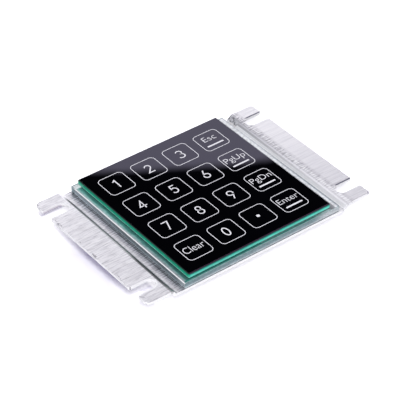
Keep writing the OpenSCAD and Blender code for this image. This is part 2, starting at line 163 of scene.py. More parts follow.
def span(owner, value, low, high, out_low=0.0, out_high=1.0, course="LINEAR"):
    """Maps a value from one range to another, clamped; low may be the larger end."""
    node = add(owner, "ShaderNodeMapRange", {"Value": value, "From Min": low, "From Max": high,
                                             "To Min": out_low, "To Max": out_high},
               interpolation_type=course)
    return node.outputs["Result"]


# %% [markdown]
# ## Helpers for texture
# Real surfaces are never one even colour. A noise that is drawn out along an axis gives
# brushing and flow marks, and the same noise with equal scales gives clouds and grain. It is
# tied to object coordinates, so it stays put on the piece from every side.

# %% Places, noise and colours
def place(material, scale=(1, 1, 1)):
    """Object coordinates in metres, multiplied by scale."""
    spot = add(material, "ShaderNodeTexCoord").outputs["Object"]
    return add(material, "ShaderNodeMapping", {"Vector": spot, "Scale": scale}).outputs["Vector"]


def axes_of(material):
    """The three coordinates in metres."""
    return add(material, "ShaderNodeSeparateXYZ", {"Vector": place(material)}).outputs


def grain(material, cells, detail=3.0, roughness=0.6, distortion=0.0):
    """A noise value; cells are those in a metre, one number or one for each axis."""
    scale = cells if isinstance(cells, tuple) else (cells,) * 3
    return add(material, "ShaderNodeTexNoise",
               {"Vector": place(material, scale), "Scale": 1.0, "Detail": detail,
                "Roughness": roughness, "Distortion": distortion}).outputs["Fac"]


def ramp(material, value, *stops):
    """A colour ramp from stops of (position, colour); one number as colour is a grey."""
    node = add(material, "ShaderNodeValToRGB", {"Fac": value})
    slots = node.color_ramp.elements
    while len(slots) < len(stops):
        slots.new(0.5)
    for slot, (position, colour) in zip(slots, stops):
        slot.position = position
        slot.color = (*colour, 1) if isinstance(colour, tuple) else (colour, colour, colour, 1)
    return node.outputs["Color"]


def wander(material, shader, noise, dark, light, low=0.3, high=0.7):
    """Lets the base colour follow a noise from a dark to a light shade."""
    join(material, ramp(material, noise, (low, dark), (high, light)), shader.inputs["Base Color"])


def uneven(material, shader, noise, smooth, rough):
    """Lets the roughness follow a noise."""
    join(material, span(material, noise, 0.3, 0.7, smooth, rough), shader.inputs["Roughness"])


def bump(material, shader, height, distance, strength=1.0):
    node = add(material, "ShaderNodeBump",
               {"Height": height, "Distance": distance, "Strength": strength})
    join(material, node.outputs["Normal"], shader.inputs["Normal"])


print("helpers ready")

# %% [markdown]
# ## The table
# The keypad lies on a white table. One wide square is enough for it. It sits a hair below the
# model, so that the screw heads and the table don't share a plane. Painted board isn't one even
# white either, so a very broad noise moves the white a little, and it doesn't shine.

# %% Table
table_half = 3.0
table_corners = [(x * table_half, y * table_half, 0) for x, y in ((-1, -1), (1, -1), (1, 1), (-1, 1))]
floor_mesh = bpy.data.meshes.new("table_top")
floor_mesh.from_pydata(table_corners, [], [(0, 1, 2, 3)])
table = bpy.data.objects.new("table_top", floor_mesh)
table.location.z = -0.02 * MM
into_scene(table)

white, table_shader = finish("white_table", Roughness=0.9)
table_shader.inputs["Specular IOR Level"].default_value = 0.0
wander(white, table_shader, grain(white, 3), (0.88, 0.88, 0.89), (0.90, 0.90, 0.91))
floor_mesh.materials.append(white)
print("table is", 2 * table_half, "m wide")

# %% [markdown]
# ## Painted light and shadow on the table
# A photographer brightens the ground with white cards. Here their light is painted: an emission
# of the table that only the eye, gloss and clear glass see, so that it doesn't light the keypad
# from below. Where the painted light is weak it leaves a painted shadow. It is weakest beside the
# left flange, which keeps a painted violet shadow: there it grows with the distance from the
# darkest spot. In front it follows the profile of the painted shadow, and far to the left and
# right it is full again.

# %% Painted light and shadow on the table
rays = add(white, "ShaderNodeLightPath").outputs
looking = highest(white, rays["Is Camera Ray"], rays["Is Glossy Ray"], rays["Is Transmission Ray"])
direct = maths(white, "LESS_THAN", rays["Diffuse Depth"], 0.5)
join(white, times(white, looking, direct), table_shader.inputs["Emission Strength"])

# The level of the painted light; where it is low, a shadow is painted.
table_x, table_y, _ = axes_of(white)
darkest_y, front_shortening = -2 * MM, 0.9
behind = maths(white, "SUBTRACT", table_y, darkest_y)
ahead = maths(white, "MULTIPLY", behind, -front_shortening)
left_painted_lift = span(white, highest(white, behind, ahead), 9 * MM, 44 * MM)
shadow_from, shadow_to = -43.5 * MM, -63.5 * MM
front_painted_lift = ramp(white, span(white, table_y, shadow_from, shadow_to),
                  (0.0, 0.94), (0.07, 0.66), (0.12, 0.46), (0.18, 0.28), (0.275, 0.18),
                  (0.375, 0.25), (0.48, 0.42), (0.70, 0.50), (1.0, 0.68))
beside_keypad = span(white, table_x, -60 * MM, -62 * MM)
painted_lift = between(white, beside_keypad, front_painted_lift, left_painted_lift)
far_left = ramp(white, span(white, table_x, -67.5 * MM, -100 * MM),
                (0.0, 0.0), (0.11, 0.16), (0.30, 0.24), (1.0, 1.0))
far_right = span(white, table_x, 72 * MM, 90 * MM)
painted_lift = highest(white, painted_lift, far_left, far_right)
print("cards laid, darkest at y", darkest_y / MM, "mm")

# %% [markdown]
# Two places on the table get a deeper painted shadow: the one behind the left flange's back
# tab, on which that tab throws its shadow, and the one that shows through the left front slot,
# in two steps. Each is a rectangle with soft sides: the product of four ramps.

# %% Painted shadow places
# All in mm: x from and to, y from and to, the back side's softness; last, the share that is left
soft_side = 0.8
painted_shadow_places = ((-67.5, -52, 45.4, 51.5, 5.0, 0.25),
                 (-61.5, -54.2, -34, -28.8, soft_side, 0.15),
                 (-61.5, -54.2, -29.4, -23.5, soft_side, 0.50))
for x_low, x_high, y_low, y_high, back_side, what_is_left in painted_shadow_places:
    sides = ((table_x, x_low, x_low + soft_side), (table_x, x_high, x_high - soft_side),
             (table_y, y_low, y_low + soft_side), (table_y, y_high, y_high - back_side))
    inside = times(white, *(span(white, value, start * MM, end * MM) for value, start, end in sides))
    painted_lift = times(white, painted_lift, span(white, inside, 0.0, 1.0, 1.0, what_is_left))
join(white, ramp(white, painted_lift, (0.0, (0.02, 0.0, 0.09)), (1.0, (0.61, 0.60, 0.62))),
     table_shader.inputs["Emission Color"])
print("dimmed places:", len(painted_shadow_places))

# %% [markdown]
# ## The studio
# Black glass is a mirror, so what it shows matters: a bright wall up to about 37 degrees, and
# darkness above it, which gives the grey veil over the back rows and pure black in front. We
# paint the world by the direction of a ray. The wall's top edge comes first. It sags a little
# to the sides, and a noise keeps it from being ruler straight.

# %% The wall's top edge
world = bpy.data.worlds.new("studio")
world.use_nodes = True
bpy.context.scene.world = world
world.node_tree.nodes.clear()
heading = add(world, "ShaderNodeTexCoord").outputs["Generated"]
toward = add(world, "ShaderNodeSeparateXYZ", {"Vector": heading}).outputs


def soft_step(value, low, high, out_low=0.0, out_high=1.0):
    return span(world, value, low, high, out_low, out_high, "SMOOTHSTEP")


# The edge's height is wall_top - sag_rate * (x - sag_middle) ** 2
wall_top, wall_blur, wobble_size = 0.6080, 0.0022, 0.0016
sag_middle, sag_rate = 0.45, 1.15
aside = maths(world, "SUBTRACT", toward["X"], sag_middle)
over = maths(world, "MULTIPLY_ADD", times(world, aside, aside), sag_rate, toward["Z"])
wobble = add(world, "ShaderNodeTexNoise", {"Vector": heading, "Scale": 90.0, "Detail": 1.0})
over = maths(world, "MULTIPLY_ADD", wobble.outputs["Fac"], wobble_size, over)
edge_height = wall_top + wobble_size / 2
above_wall = soft_step(over, edge_height - wall_blur, edge_height + wall_blur)
print("wall reaches", round(math.degrees(math.asin(wall_top)), 1), "degrees up")

# %% [markdown]
# Over the wall the ceiling is lit, apart from a dark opening that the front rows mirror. The
# walls at the left and in front are dimmer, so that the sheet isn't blown out from behind. Only
# mirrored rays meet this painted room. The eye and clear glass meet plain white, and the rest
# meet a pale even light from all round, so that the shadow is faint.

# %% Ceiling, walls and air
wall_light, ceiling_light, side_light, dark_light = 1.455, 1.33, 0.70, 0.008
opening = times(world, soft_step(toward["X"], 0.24, 0.36), soft_step(toward["Y"], -0.75, -0.60),
                soft_step(toward["Z"], 0.70, 0.80, 1.0, 0.0))
high_ceiling = soft_step(toward["Z"], 0.82, 0.94, ceiling_light, side_light)
low_ceiling = highest(world, soft_step(toward["Z"], 0.45, 0.62, side_light, ceiling_light),
                      soft_step(toward["X"], -0.20, 0.05, side_light, ceiling_light))
lit_ceiling = maths(world, "MINIMUM", high_ceiling, low_ceiling)
ceiling = between(world, opening, lit_ceiling, dark_light)
wall = maths(world, "MINIMUM", soft_step(toward["X"], -0.15, 0.15, side_light, wall_light),
             soft_step(toward["Y"], -0.30, 0.0, side_light, wall_light))
room = between(world, above_wall, wall, ceiling)


def backdrop(colour, strength):
    return add(world, "ShaderNodeBackground", {"Color": (*colour, 1), "Strength": strength}).outputs[0]


ambient_light = 0.50
path = add(world, "ShaderNodeLightPath").outputs
air = backdrop((0.93, 0.92, 1.0), ambient_light)
painted_room = backdrop((0.97, 0.95, 1.0), room)
plain_white = backdrop((1, 1, 1), 1.0)
for ray, shown in (("Is Glossy Ray", painted_room), ("Is Transmission Ray", plain_white),
                   ("Is Camera Ray", plain_white)):
    air = add(world, "ShaderNodeMixShader", {0: path[ray], 1: air, 2: shown}).outputs[0]
add(world, "ShaderNodeOutputWorld", {"Surface": air})
print("room painted, wall light", wall_light)

# %% [markdown]
# ## The lamp
# A large round softbox hangs in front, to the left and high up, and looks at the keypad. The
# painted room already holds all that the metal and the glass mirror, so the lamp is hidden from
# mirrored rays: it only gives light and the faint shadow.

# %% Softbox
softbox_spot = Vector((-0.40, -0.60, 1.00))
softbox = bpy.data.lights.new("main_softbox", "AREA")
softbox.shape = "DISK"
softbox.size = 0.5
softbox.energy = 11.0
lamp = bpy.data.objects.new("main_softbox", softbox)
lamp.location = softbox_spot
lamp.rotation_euler = (-softbox_spot).to_track_quat("-Z", "Y").to_euler()
lamp.visible_glossy = False
into_scene(lamp)
print("softbox hangs", round(softbox_spot.length, 2), "m away")

# %% [markdown]
# ## The black face
# On the real panel a thick black ink is fired on the glass and polished flat. It is nearly a
# perfect black mirror with a very faint unevenness. We use a dark base with a low roughness,
# and let a broad noise move the roughness a little, so that the reflection isn't sterile.

# %% Black print
ink, ink_shader = finish("gloss_black_print", IOR=1.6)
ink_shader.inputs["Specular Tint"].default_value = (0.67, 0.63, 0.985, 1)
wander(ink, ink_shader, grain(ink, 60), (0.0004, 0.0005, 0.0010), (0.0008, 0.0008, 0.0016),
       0.35, 0.65)
uneven(ink, ink_shader, grain(ink, 45), 0.004, 0.012)
dress(ink, "black_print")

# %% [markdown]
# ## The white marks
# The outlines and bars are screen printed in white. Ink has a fine grain and is a little less
# glossy than the glass. The same finish serves the signs that we draw next.

# %% White print
chalk, chalk_shader = finish("white_print", IOR=1.45)
wander(chalk, chalk_shader, grain(chalk, 900), (0.76, 0.76, 0.80), (0.86, 0.86, 0.89))
uneven(chalk, chalk_shader, grain(chalk, 1500), 0.35, 0.55)
dress(chalk, "key_outlines", "function_bars", "point_mark")

# %% [markdown]
# ## Finding the keys
# The sixteen outlines are one node, so its box gives the grid: the outer keys touch the box's
# edges. From the box and the size of a key we work out each key's middle, and everything that
# we print later is placed from that.

# %% Key middles
grid_low, grid_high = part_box("key_outlines")
key_size = 15.0 * MM
mark_level = grid_high.z
pad = [["1", "2", "3", "Esc"], ["4", "5", "6", "PgUp"], ["7", "8", "9", "PgDn"],
       ["Clear", "0", ".", "Enter"]]
column_pitch = (grid_high.x - grid_low.x - key_size) / (len(pad[0]) - 1)
row_pitch = (grid_high.y - grid_low.y - key_size) / (len(pad) - 1)


def labelled_keys(wanted):
    """The label and the middle of each key whose label is wanted, row by row from the back."""
    for row, labels in enumerate(pad):
        for column, label in enumerate(labels):
            if label in wanted:
                yield label, Vector((grid_low.x + key_size / 2 + column * column_pitch,
                                     grid_high.y - key_size / 2 - row * row_pitch, face_level))


print("key pitch in mm:", round(column_pitch / MM, 2), round(row_pitch / MM, 2))

# %% [markdown]
# ## The shapes of the digits
# The digits are plain sign-writer's shapes of one line width. Each is a few strokes: straight
# runs and parts of ellipses, in a cell that is one unit high and has its middle at nought.

# %% Strokes of the digits
def curve(cx, cy, rx, ry, start, end, steps=22):
    """Points on part of an ellipse, angles in degrees."""
    angles = [math.radians(start + (end - start) * i / steps) for i in range(steps + 1)]
    return [(cx + rx * math.cos(a), cy + ry * math.sin(a)) for a in angles]


top = 0.443
bowl = (0, -0.20, 0.25, 0.243)
digit_strokes = {
    "0": [curve(0, 0, 0.23, top, 0, 360, 36)],
    "1": [[(-0.19, 0.27), (0.04, 0.44), (0.04, -0.5)]],
    "2": [curve(0, 0.20, 0.235, 0.243, 165, -38) + [(-0.25, -top), (0.29, -top)]],
    "3": [curve(-0.02, 0.225, 0.24, 0.218, 150, -90), curve(-0.02, -0.20, 0.28, 0.243, 90, -152)],
    "4": [[(0.10, -0.5), (0.10, 0.40), (-0.29, -0.24), (0.31, -0.24)]],
    "5": [[(0.22, top), (-0.15, top), (-0.19, 0.06)] + curve(-0.02, -0.16, 0.255, 0.283, 128, -150)],
    "6": [curve(*bowl, 0, 360, 30), [(-0.215, -0.10), (0.07, 0.49)]],
    "7": [[(-0.27, top), (0.25, top), (-0.07, -0.5)]],
    "8": [curve(0, 0.225, 0.195, 0.218, 0, 360, 30), curve(*bowl, 0, 360, 30)],
}
digit_strokes["9"] = [[(-x, -y) for x, y in stroke] for stroke in digit_strokes["6"]]
print("digits:", *sorted(digit_strokes))

# %% [markdown]
# ## From a stroke to a ribbon
# A stroke becomes a thin closed ribbon with mitred corners. This keeps the ends square, which a
# round pen would not. At each point the ribbon turns by half: its side looks along the middle
# between the two directions that meet there, and is stretched a little to keep the width.

# %% Ribbons
def ribbon(points, width, low, high):
    """Vertices and faces of a closed strip of that width along the points."""
    closed = math.dist(points[0], points[-1]) < 1e-6
    line = [Vector(p) for p in (points[:-1] if closed else points)]
    count = len(line)
    sides = []
    for i, here in enumerate(line):
        before = line[i - 1] if i or closed else None
        after = line[(i + 1) % count] if i < count - 1 or closed else None
        into = (here - before).normalized() if before is not None else (after - here).normalized()
        out = (after - here).normalized() if after is not None else into
        across = Vector((-(into + out).y, (into + out).x)).normalized()
        stretch = 1 / max(0.35, across.dot(Vector((-into.y, into.x))))
        sides.append(across * (width / 2 * stretch))
    verts = []
    for here, side in zip(line, sides):
        verts += [(*(here + side), high), (*(here - side), high),
                  (*(here - side), low), (*(here + side), low)]
    faces = []
    for i in range(count if closed else count - 1):
        a, b = 4 * i, 4 * ((i + 1) % count)
        faces += [(a + k, a + (k + 1) % 4, b + (k + 1) % 4, b + k) for k in range(4)]
    if not closed:
        end = 4 * (count - 1)
        faces += [(3, 2, 1, 0), (end, end + 1, end + 2, end + 3)]
    return verts, faces


def printed_piece(name, verts, faces):
    mesh = bpy.data.meshes.new(name)
    mesh.from_pydata(verts, [], faces)
    mesh.validate()
    mesh.materials.append(chalk)
    piece = bpy.data.objects.new(name, mesh)
    into_scene(piece)
    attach(piece, "root")
    return piece


# %% [markdown]
# Each digit is one piece: its strokes' ribbons are scaled, moved to the key's middle and put in
# one mesh. The ribbons reach from the black face up to the level of the printed outlines.

# %% Printing the digits
digit_height = 6.7 * MM
digit_line = 0.64 * MM
for label, middle in labelled_keys(digit_strokes):
    verts, faces = [], []
    for stroke in digit_strokes[label]:
        run = [(x * digit_height + middle.x, y * digit_height + middle.y) for x, y in stroke]
        more, links = ribbon(run, digit_line, face_level, mark_level)
        faces += [tuple(i + len(verts) for i in face) for face in links]
        verts += more
    printed_piece("digit_" + label, verts, faces)
print("digits drawn:", len(digit_strokes))

# %% [markdown]
# ## The function words
# The words on the last column and on the clear key are ordinary keyboard words. Blender's own
# typeface is close in style, so a text object sets them, and we read its flat mesh. A capital
# is measured once, because the words are fitted by the height of their capitals.

# %% Type
def set_type(text, offset=0.0):
    """The flat mesh of a text, one unit high in type size."""
    letters = bpy.data.curves.new("type_" + text, "FONT")
    letters.body = text
    letters.size = 1.0
    letters.offset = offset
    holder = bpy.data.objects.new("setting", letters)
    into_scene(holder)
    bpy.context.view_layer.update()
    flat = holder.evaluated_get(bpy.context.evaluated_depsgraph_get())
    mesh = bpy.data.meshes.new_from_object(flat)
    bpy.data.objects.remove(holder)
    return mesh


cap_height = max(vertex.co.y for vertex in set_type("E").vertices)
thinner = -0.012
print("a capital is", round(cap_height, 3), "of the type size")

# %% [markdown]
# A flat word is scaled to the wanted width and height. Edges that only one face uses are its
# border. They get walls, and the flat copy below gets its faces turned round, so that each word
# is a closed thin piece like the digits.

# %% Printing the words
def printed_word(word, middle, wide, tall):
    """Width is that of the whole word, height that of its capital."""
    outline = set_type(word, thinner)
    xs = [vertex.co.x for vertex in outline.vertices]
    centre = Vector(((max(xs) + min(xs)) / 2, cap_height / 2))
    fit = Vector((wide / (max(xs) - min(xs)), tall / cap_height))
    flat = [((vertex.co.x - centre.x) * fit.x + middle.x, (vertex.co.y - centre.y) * fit.y + middle.y)
            for vertex in outline.vertices]
    faces = [tuple(polygon.vertices) for polygon in outline.polygons]
    count = len(flat)
    directed = dict.fromkeys((a, b) for face in faces for a, b in zip(face, face[1:] + face[:1]))
    border = [(a, b) for a, b in directed if (b, a) not in directed]
    solid = [(*spot, level) for level in (mark_level, face_level) for spot in flat]
    walls = [(b, a, a + count, b + count) for a, b in border]
    under = [tuple(i + count for i in reversed(face)) for face in faces]
    return printed_piece("word_" + word, solid, faces + walls + under)


# Width, height of the capital and how far the word stands above the key's middle, in mm
word_sizes = {"Esc": (7.8, 4.1, 2.2), "PgUp": (12.3, 4.1, 1.9), "PgDn": (12.3, 4.1, 1.9),
              "Enter": (12.3, 4.1, 1.7), "Clear": (12.0, 4.6, 0.1)}
for word, middle in labelled_keys(word_sizes):
    wide, tall, higher = word_sizes[word]
    printed_word(word, middle + Vector((0, higher * MM, 0)), wide * MM, tall * MM)
print("words set:", len(word_sizes))

# %% [markdown]
# ## The cover glass
# Seen edge on, thick float glass is green, because the light runs a long way through it. The
# edge is ground, so it glows softly and doesn't mirror. The face is hidden by the ink. The sides
# get the glass's green with painted light in it: a painted bright band just below the bevel,
# and a dark bevel, because there we look at the back of the ink. The front and the left side
# have their own ramps of painted light.

# %% Cover glass
def blend(material, factor, first, second, mode="MIX"):
    """A colour between two colours or sockets."""
    node = add(material, "ShaderNodeMix", data_type="RGBA", blend_type=mode)
    for slot, value in ((0, factor), (6, first), (7, second)):
        if isinstance(value, bpy.types.NodeSocket):
            join(material, value, node.inputs[slot])
        else:
            node.inputs[slot].default_value = (*value, 1) if slot else value
    return node.outputs[2]


def shaded(material, colour, shade):
    """The colour times a shade."""
    return blend(material, 1.0, colour, shade, "MULTIPLY")


edge_glass, edge_shader = finish("green_glass_edge", IOR=1.5, Roughness=0.25)
edge_shader.inputs["Specular IOR Level"].default_value = 0.2
x, y, z = axes_of(edge_glass)
depth = span(edge_glass, z, glass_low.z, glass_high.z)
# Painted light: over the height each side gets a painted bright band and a dark bevel.
front_green_and_glow = ramp(edge_glass, depth, (0.0, (0.13, 0.55, 0.48)), (0.10, (0.14, 0.60, 0.52)),
                  (0.22, (0.12, 0.60, 0.50)), (0.42, (0.12, 0.63, 0.50)),
                  (0.60, (0.01, 0.46, 0.33)), (0.74, (0.004, 0.20, 0.15)),
                  (0.84, (0.004, 0.07, 0.06)), (0.92, (0.03, 0.012, 0.03)))
left_green_and_glow = ramp(edge_glass, depth, (0.0, (0.02, 0.28, 0.21)), (0.16, (0.16, 0.62, 0.47)),
                 (0.30, (0.20, 0.66, 0.50)), (0.42, (0.02, 0.40, 0.27)),
                 (0.62, (0.004, 0.42, 0.24)), (0.84, (0.002, 0.22, 0.12)),
                 (0.92, (0.01, 0.02, 0.02)))
on_left = span(edge_glass, x, glass_low.x + 0.6 * MM, glass_low.x + 0.5 * MM)
cloud = span(edge_glass, grain(edge_glass, (160, 160, 400)), 0.3, 0.7, 0.82, 1.15)
edge_green_and_glow = shaded(edge_glass, blend(edge_glass, on_left, front_green_and_glow, left_green_and_glow), cloud)
join(edge_glass, edge_green_and_glow, edge_shader.inputs["Base Color"])
dress(edge_glass, "front_glass")

# %% [markdown]
# ## The sensor glass
# The wider plate below is clear glass with ground edges. Its ledges are painted light: near the
# cover glass a painted green glow, and farther out a painted view of the metal below. A ramp over
# the distance from the cover glass gives each ledge. A noise makes that distance ragged, because
# light breaks up in a ground edge. A little real transmission keeps the glass from looking painted.

# %% Ledges of the sensor glass
clear, clear_shader = finish("clear_sensor_glass", IOR=1.5, Roughness=0.04)
clear_shader.inputs["Transmission Weight"].default_value = 0.15
x, y, z = axes_of(clear)
streak = span(clear, grain(clear, (500, 120, 500)), 0.3, 0.7, -0.4 * MM, 0.4 * MM)
left_width = glass_low.x - sensor_low.x
out_left = maths(clear, "ADD", maths(clear, "SUBTRACT", glass_low.x, x), streak)
left_ledge = ramp(clear, span(clear, out_left, 0.0, left_width),
                  (0.0, (0.05, 0.17, 0.15)), (0.15, (0.05, 0.18, 0.16)),
                  (0.33, (0.09, 0.27, 0.25)), (0.46, (0.21, 0.43, 0.41)),
                  (0.66, (0.34, 0.52, 0.52)), (1.0, (0.50, 0.60, 0.62)))
# Painted shade makes the left ledge darker towards the front; its back corner is painted pale.
left_ledge = blend(clear, span(clear, y, 10 * MM, -25 * MM), left_ledge,
                   shaded(clear, left_ledge, (0.85, 0.68, 0.73)))
painted_pale_corner = span(clear, maths(clear, "ADD", y, streak), sensor_high.y - 4.4 * MM,
                   sensor_high.y - 3.6 * MM)
left_ledge = blend(clear, painted_pale_corner, left_ledge, (0.84, 0.87, 0.89))
# The right ledge has painted highlights in bands, and is painted lighter towards the back.
right_ledge = ramp(clear, span(clear, x, glass_high.x, sensor_high.x),
                   (0.0, (0.20, 0.20, 0.22)), (0.45, (0.40, 0.40, 0.43)),
                   (0.53, (0.90, 0.90, 0.93)), (0.72, (0.86, 0.87, 0.91)),
                   (0.82, (0.36, 0.39, 0.43)), (0.92, (0.30, 0.33, 0.37)))
right_ledge = blend(clear, span(clear, y, -30 * MM, 45 * MM, 0.0, 0.55), right_ledge,
                    (0.84, 0.84, 0.87))
# The front ledge carries painted green light, painted paler towards its right end.
front_ledge = ramp(clear, span(clear, y, sensor_low.y, glass_low.y),
                   (0.0, (0.09, 0.27, 0.25)), (1.0, (0.03, 0.16, 0.14)))
painted_pale_end = span(clear, x, 33 * MM, 40 * MM, 0.0, 0.6)
front_ledge = blend(clear, painted_pale_end, front_ledge, (0.60, 0.66, 0.68))
hair = 0.01 * MM
right_half = span(clear, x, -hair, hair)
in_front = times(clear, span(clear, y, glass_low.y + 0.1 * MM, glass_low.y - 0.1 * MM),
                 span(clear, x, glass_high.x + 0.2 * MM, glass_high.x - 1 * MM))
ledges = blend(clear, in_front, blend(clear, right_half, left_ledge, right_ledge), front_ledge)
print("ledges in mm:", round(left_width / MM, 1), round((sensor_high.x - glass_high.x) / MM, 1))

# %% [markdown]
# The walls of the plate are ground too. A ramp over the height shows how the light falls in from
# below and fades towards the top. The left wall is lit better at the back, and the front wall is
# the brightest at its foot, where it stands on bright metal.

# %% Walls of the sensor glass
height = span(clear, z, sensor_low.z, sensor_high.z)
dim_wall = ramp(clear, height, (0.0, (0.42, 0.50, 0.53)), (0.18, (0.38, 0.46, 0.49)),
                (0.34, (0.17, 0.23, 0.25)), (0.55, (0.09, 0.13, 0.14)), (0.90, (0.06, 0.10, 0.11)))
lit_wall = ramp(clear, height, (0.0, (0.62, 0.72, 0.77)), (0.18, (0.60, 0.70, 0.75)),
                (0.40, (0.38, 0.47, 0.52)), (0.60, (0.28, 0.36, 0.40)), (0.90, (0.22, 0.30, 0.33)))
left_wall = blend(clear, span(clear, y, 5 * MM, 40 * MM), dim_wall, lit_wall)
left_wall = blend(clear, span(clear, y, -40 * MM, -45 * MM, 0.0, 0.5), left_wall,
                  (0.52, 0.58, 0.61))
front_wall = ramp(clear, height, (0.0, (0.92, 0.95, 0.96)), (0.14, (0.60, 0.68, 0.70)),
                  (0.33, (0.24, 0.33, 0.36)), (0.55, (0.15, 0.24, 0.27)),
                  (0.74, (0.16, 0.24, 0.26)), (0.90, (0.10, 0.24, 0.25)))
front_wall = blend(clear, painted_pale_end, front_wall, (0.66, 0.69, 0.71))
on_front_wall = span(clear, y, sensor_low.y + 0.1 * MM, sensor_low.y + 0.05 * MM)
walls = blend(clear, on_front_wall, left_wall, front_wall)
face_starts = sensor_high.z - 0.03 * MM
on_face = span(clear, z, face_starts - hair, face_starts + hair)
glass_colour = blend(clear, on_face, walls, ledges)
speck = span(clear, grain(clear, 700, detail=4.0), 0.35, 0.65, 0.82, 1.18)
glass_colour = shaded(clear, glass_colour, speck)
print("plate is", round((sensor_high.z - sensor_low.z) / MM, 1), "mm thick")

# %% [markdown]
# Where two ground faces meet, the glass has a small arris. At the left and right it gets a
# painted highlight, a thin white line. At the back it looks into the dark, so it gets a painted
# dark reflection, a dark line, which turns the back left corner for a few millimetres.

# %% Arrises of the sensor glass
def near(value, edge, distance):
    """1 within a distance of an edge plane."""
    gap = maths(clear, "ABSOLUTE", maths(clear, "SUBTRACT", value, edge))
    return span(clear, gap, distance, distance * 0.9)


arris = 0.43 * MM
rim_highlight = highest(clear, *(times(clear, near(x, edge, arris), near(z, sensor_high.z, arris))
                             for edge in (sensor_low.x, sensor_high.x)))
glass_colour = blend(clear, rim_highlight, glass_colour, (0.95, 0.96, 0.97))
back_rim = times(clear, near(y, sensor_high.y, 1.0 * MM), near(z, sensor_high.z, 0.5 * MM))
back_corner = times(clear, near(x, sensor_low.x, 0.4 * MM), near(y, sensor_high.y, 3.2 * MM))
rim_dark_reflection = times(clear, highest(clear, back_rim, back_corner), 0.8)
glass_colour = blend(clear, rim_dark_reflection, glass_colour, (0.14, 0.24, 0.26))
join(clear, glass_colour, clear_shader.inputs["Base Color"])
dress(clear, "sensor_glass")

# %% [markdown]
# The two plates are joined by a clear bond, poured as a thin layer. Seen from the side it only
# carries the green of the cover glass, a little cloudy.

# %% Bond
bond, bond_shader = finish("clear_bond", IOR=1.48, Roughness=0.25)
wander(bond, bond_shader, grain(bond, 300), (0.10, 0.36, 0.31), (0.13, 0.42, 0.37))
dress(bond, "optical_bond")

# %% [markdown]
# ## The brushed carrier
# The carrier is one sheet, cut, brushed along its length and then bent. Brushing leaves long
# fine scratches along X. Two drawn-out noises make them: their sum moves the tone here, and
# lifts the surface by microns later, so that the light breaks into streaks. Darker scratches of
# a few millimetres are scattered over it. The right half gets a painted sheen, blended further
# towards near white than the left, and painted shade that falls off a little to the front. The
# left half is marked by short scores.

# %% Brushed metal
sheet, sheet_shader = finish("brushed_sheet")
x, y, z = axes_of(sheet)
broad = grain(sheet, (40, 1000, 600), detail=5.0, distortion=0.15)
fine = grain(sheet, (110, 2400, 1500), detail=3.0, distortion=0.1)
tone = maths(sheet, "ADD", broad, fine)
metal = ramp(sheet, span(sheet, tone, 0.7, 1.3), (0.0, (0.60, 0.60, 0.63)),
             (0.35, (0.86, 0.86, 0.89)), (0.7, (0.97, 0.97, 0.99)), (1.0, 1.0))


def darker(colour, factor, shade):
    """The colour, mixed by the factor towards itself times a shade."""
    return blend(sheet, factor, colour, shaded(sheet, colour, shade))


scratch = span(sheet, grain(sheet, (60, 1300, 600), detail=1.0), 0.66, 0.72)
metal = darker(metal, scratch, (0.72, 0.72, 0.74))
# Painted sheen: the right half is blended further towards near white.
metal = blend(sheet, span(sheet, x, 0.0, 1 * MM, 0.12, 0.50), metal, (0.97, 0.97, 0.99))
score = span(sheet, grain(sheet, (170, 1500, 600), detail=4.0, distortion=0.1), 0.49, 0.60)
left_half = span(sheet, x, 0.0, -1 * MM, 0.0, 0.62)
metal = darker(metal, times(sheet, score, left_half), (0.70, 0.70, 0.71))
# Painted shade: the right half is darker towards the front.
right_front_shade = times(sheet, span(sheet, x, 0.0, 1 * MM), span(sheet, y, 30 * MM, -20 * MM))
metal = darker(metal, right_front_shade, (0.93, 0.93, 0.94))
print("sheet is", round((tray_high.x - tray_low.x) / MM, 2), "mm long")

# %% [markdown]
# ## Bands and strokes
# Most marks on the sheet are narrow: a line along a bend, a row of short strokes, a dent. Two
# helpers serve them all. A band is 1 near a value and fades at both sides. Strokes repeat along
# Y, and a noise pushes them out of step, as the marks of a press are.

# %% Helpers for marks
def band(value, centre, half):
    """1 on a band around a value, with soft sides."""
    off = maths(sheet, "ABSOLUTE", maths(sheet, "SUBTRACT", value, centre))
    return span(sheet, off, half * 0.6, half * 1.2, 1.0, 0.0)


def strokes_along(pitch, unrest):
    """1 on strokes across Y at about that pitch."""
    push = grain(sheet, (60, 300, 300), detail=3.0)
    turns = maths(sheet, "MULTIPLY_ADD", push, unrest, maths(sheet, "DIVIDE", y, pitch))
    return band(maths(sheet, "FRACT", turns), 0.5, 0.24)


print("helpers for marks ready")

# %% [markdown]
# ## The trough beside the glass
# Between the left bend and the sensor glass runs a narrow trough. It lies in the shade of the
# glass and mirrors its ground wall, as a dark line with a pale one beside it. Dashes across it
# are the wall's own speckle, drawn out by the brushing. It fades towards both ends.

